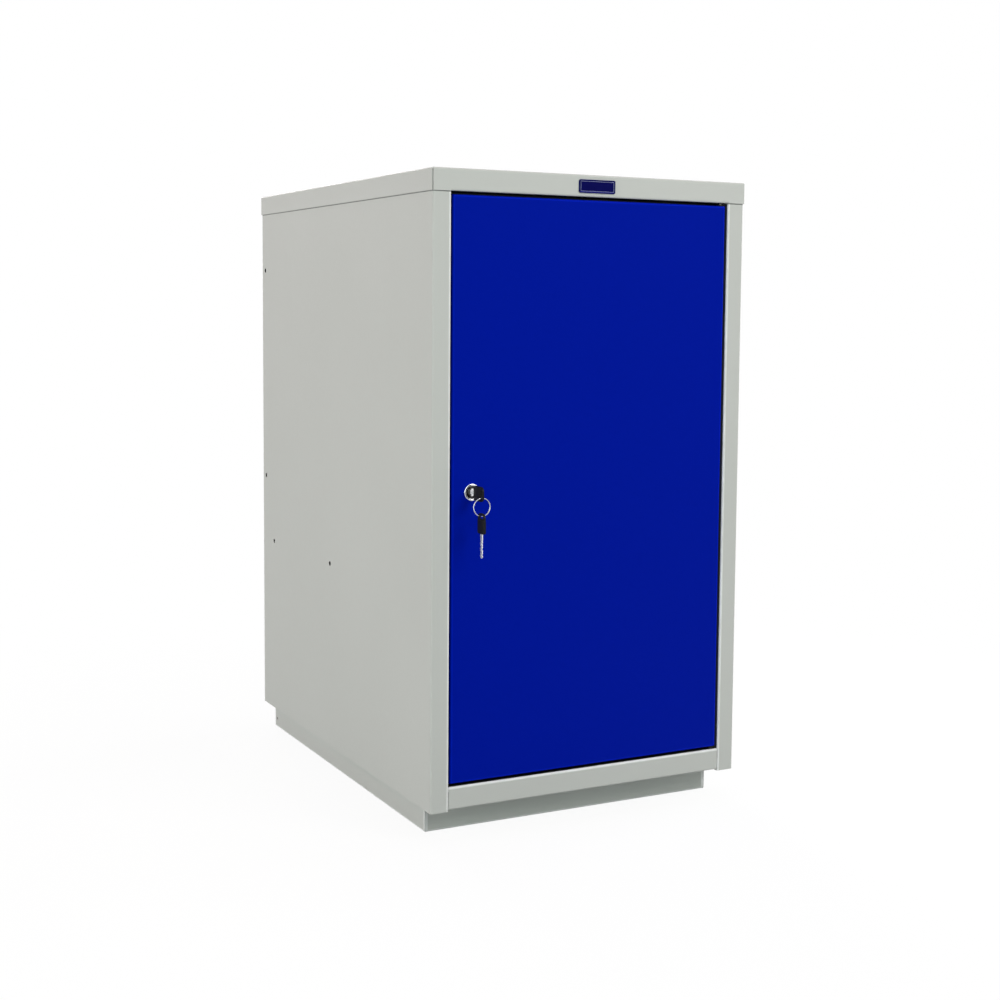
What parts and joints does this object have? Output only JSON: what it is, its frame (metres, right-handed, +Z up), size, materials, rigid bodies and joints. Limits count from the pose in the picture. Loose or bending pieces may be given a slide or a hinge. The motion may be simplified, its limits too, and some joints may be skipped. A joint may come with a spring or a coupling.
{
  "type": "tool cabinet",
  "caption": "Free-standing grey steel tool cabinet on a recessed plinth, with a blue inset door, a cam lock with its keys on a ring, and adjustable shelves inside.",
  "frame": {"origin": "on the floor, under the middle of the overall box, which reaches from the keys in front to the back of the cap", "axes": "+Z up, +Y to the back, +X to the right as seen from the front; the door faces -Y"},
  "size_m": [0.4324, 0.64, 0.79],
  "materials": {
    "body_paint": "satin light grey powder coat",
    "door_paint": "satin ultramarine blue powder coat",
    "zinc": "bright zinc plating",
    "chrome": "polished",
    "brass": "plain",
    "key_steel": "nickel-plated, milled cuts",
    "black_plastic": "fine moulded texture",
    "plate_plastic": "glossy dark blue",
    "rubber": "matt"
  },
  "bodies": {
    "cabinet": {"side_panel_left": "body_paint", "side_panel_right": "body_paint", "back_panel": "body_paint", "top_cap": "body_paint", "bottom_deck": "body_paint", "plinth_front_rail": "body_paint", "plinth_back_rail": "body_paint", "plinth_left_rail": "body_paint", "plinth_right_rail": "body_paint", "plinth_bolts": "zinc", "plinth_nuts": "zinc", "back_panel_screws": "zinc", "hinge_plate_top": "body_paint", "hinge_plate_bottom": "body_paint", "hinge_pin_top": "zinc", "hinge_pin_bottom": "zinc", "hinge_washer": "zinc", "shelf_upper": "body_paint", "shelf_lower": "body_paint", "shelf_clips_upper": "zinc", "shelf_clips_lower": "zinc", "door_buffers": "rubber", "name_plate": "plate_plastic"},
    "door": {"door_panel": "door_paint", "door_stiffener": "door_paint", "hinge_bush_top": "black_plastic", "hinge_bush_bottom": "black_plastic", "lock_housing": "chrome", "lock_washer": "zinc", "lock_nut": "zinc"},
    "lock": {"lock_plug": "chrome", "lock_wafers": "brass", "lock_cam": "zinc", "cam_washer": "zinc", "cam_screw": "zinc"},
    "key": {"key_blade": "key_steel", "key_head": "black_plastic"},
    "ring": {"key_ring": "chrome"},
    "spare_key": {"spare_key_blade": "key_steel", "spare_key_head": "black_plastic"}
  },
  "joints": [
    {"name": "door_hinge", "type": "hinge", "parent": "cabinet", "child": "door", "pos_m": [0.18435, -0.27825, 0.4158], "axis": [0, 0, 1], "range_deg": [0, 105]},
    {"name": "lock_turn", "type": "hinge", "parent": "door", "child": "lock", "pos_m": [-0.1632, -0.28325, 0.4158], "axis": [0, 1, 0], "range_deg": [0, 90]},
    {"name": "key_pull", "type": "slide", "parent": "lock", "child": "key", "axis": [0, -1, 0], "range_m": [0, 0.024]},
    {"name": "ring_hang", "type": "hinge", "parent": "key", "child": "ring", "pos_m": [-0.1632, -0.31125, 0.4078], "axis": [0, 1, 0], "range_deg": [-90, 0]},
    {"name": "spare_swing", "type": "hinge", "parent": "ring", "child": "spare_key", "pos_m": [-0.1632, -0.31125, 0.3906], "axis": [-1, 0, 0], "range_deg": [-30, 90]}
  ],
  "couplings": [
    {"joint": "ring_hang", "follows": "lock_turn", "ratio": -1}
  ]
}
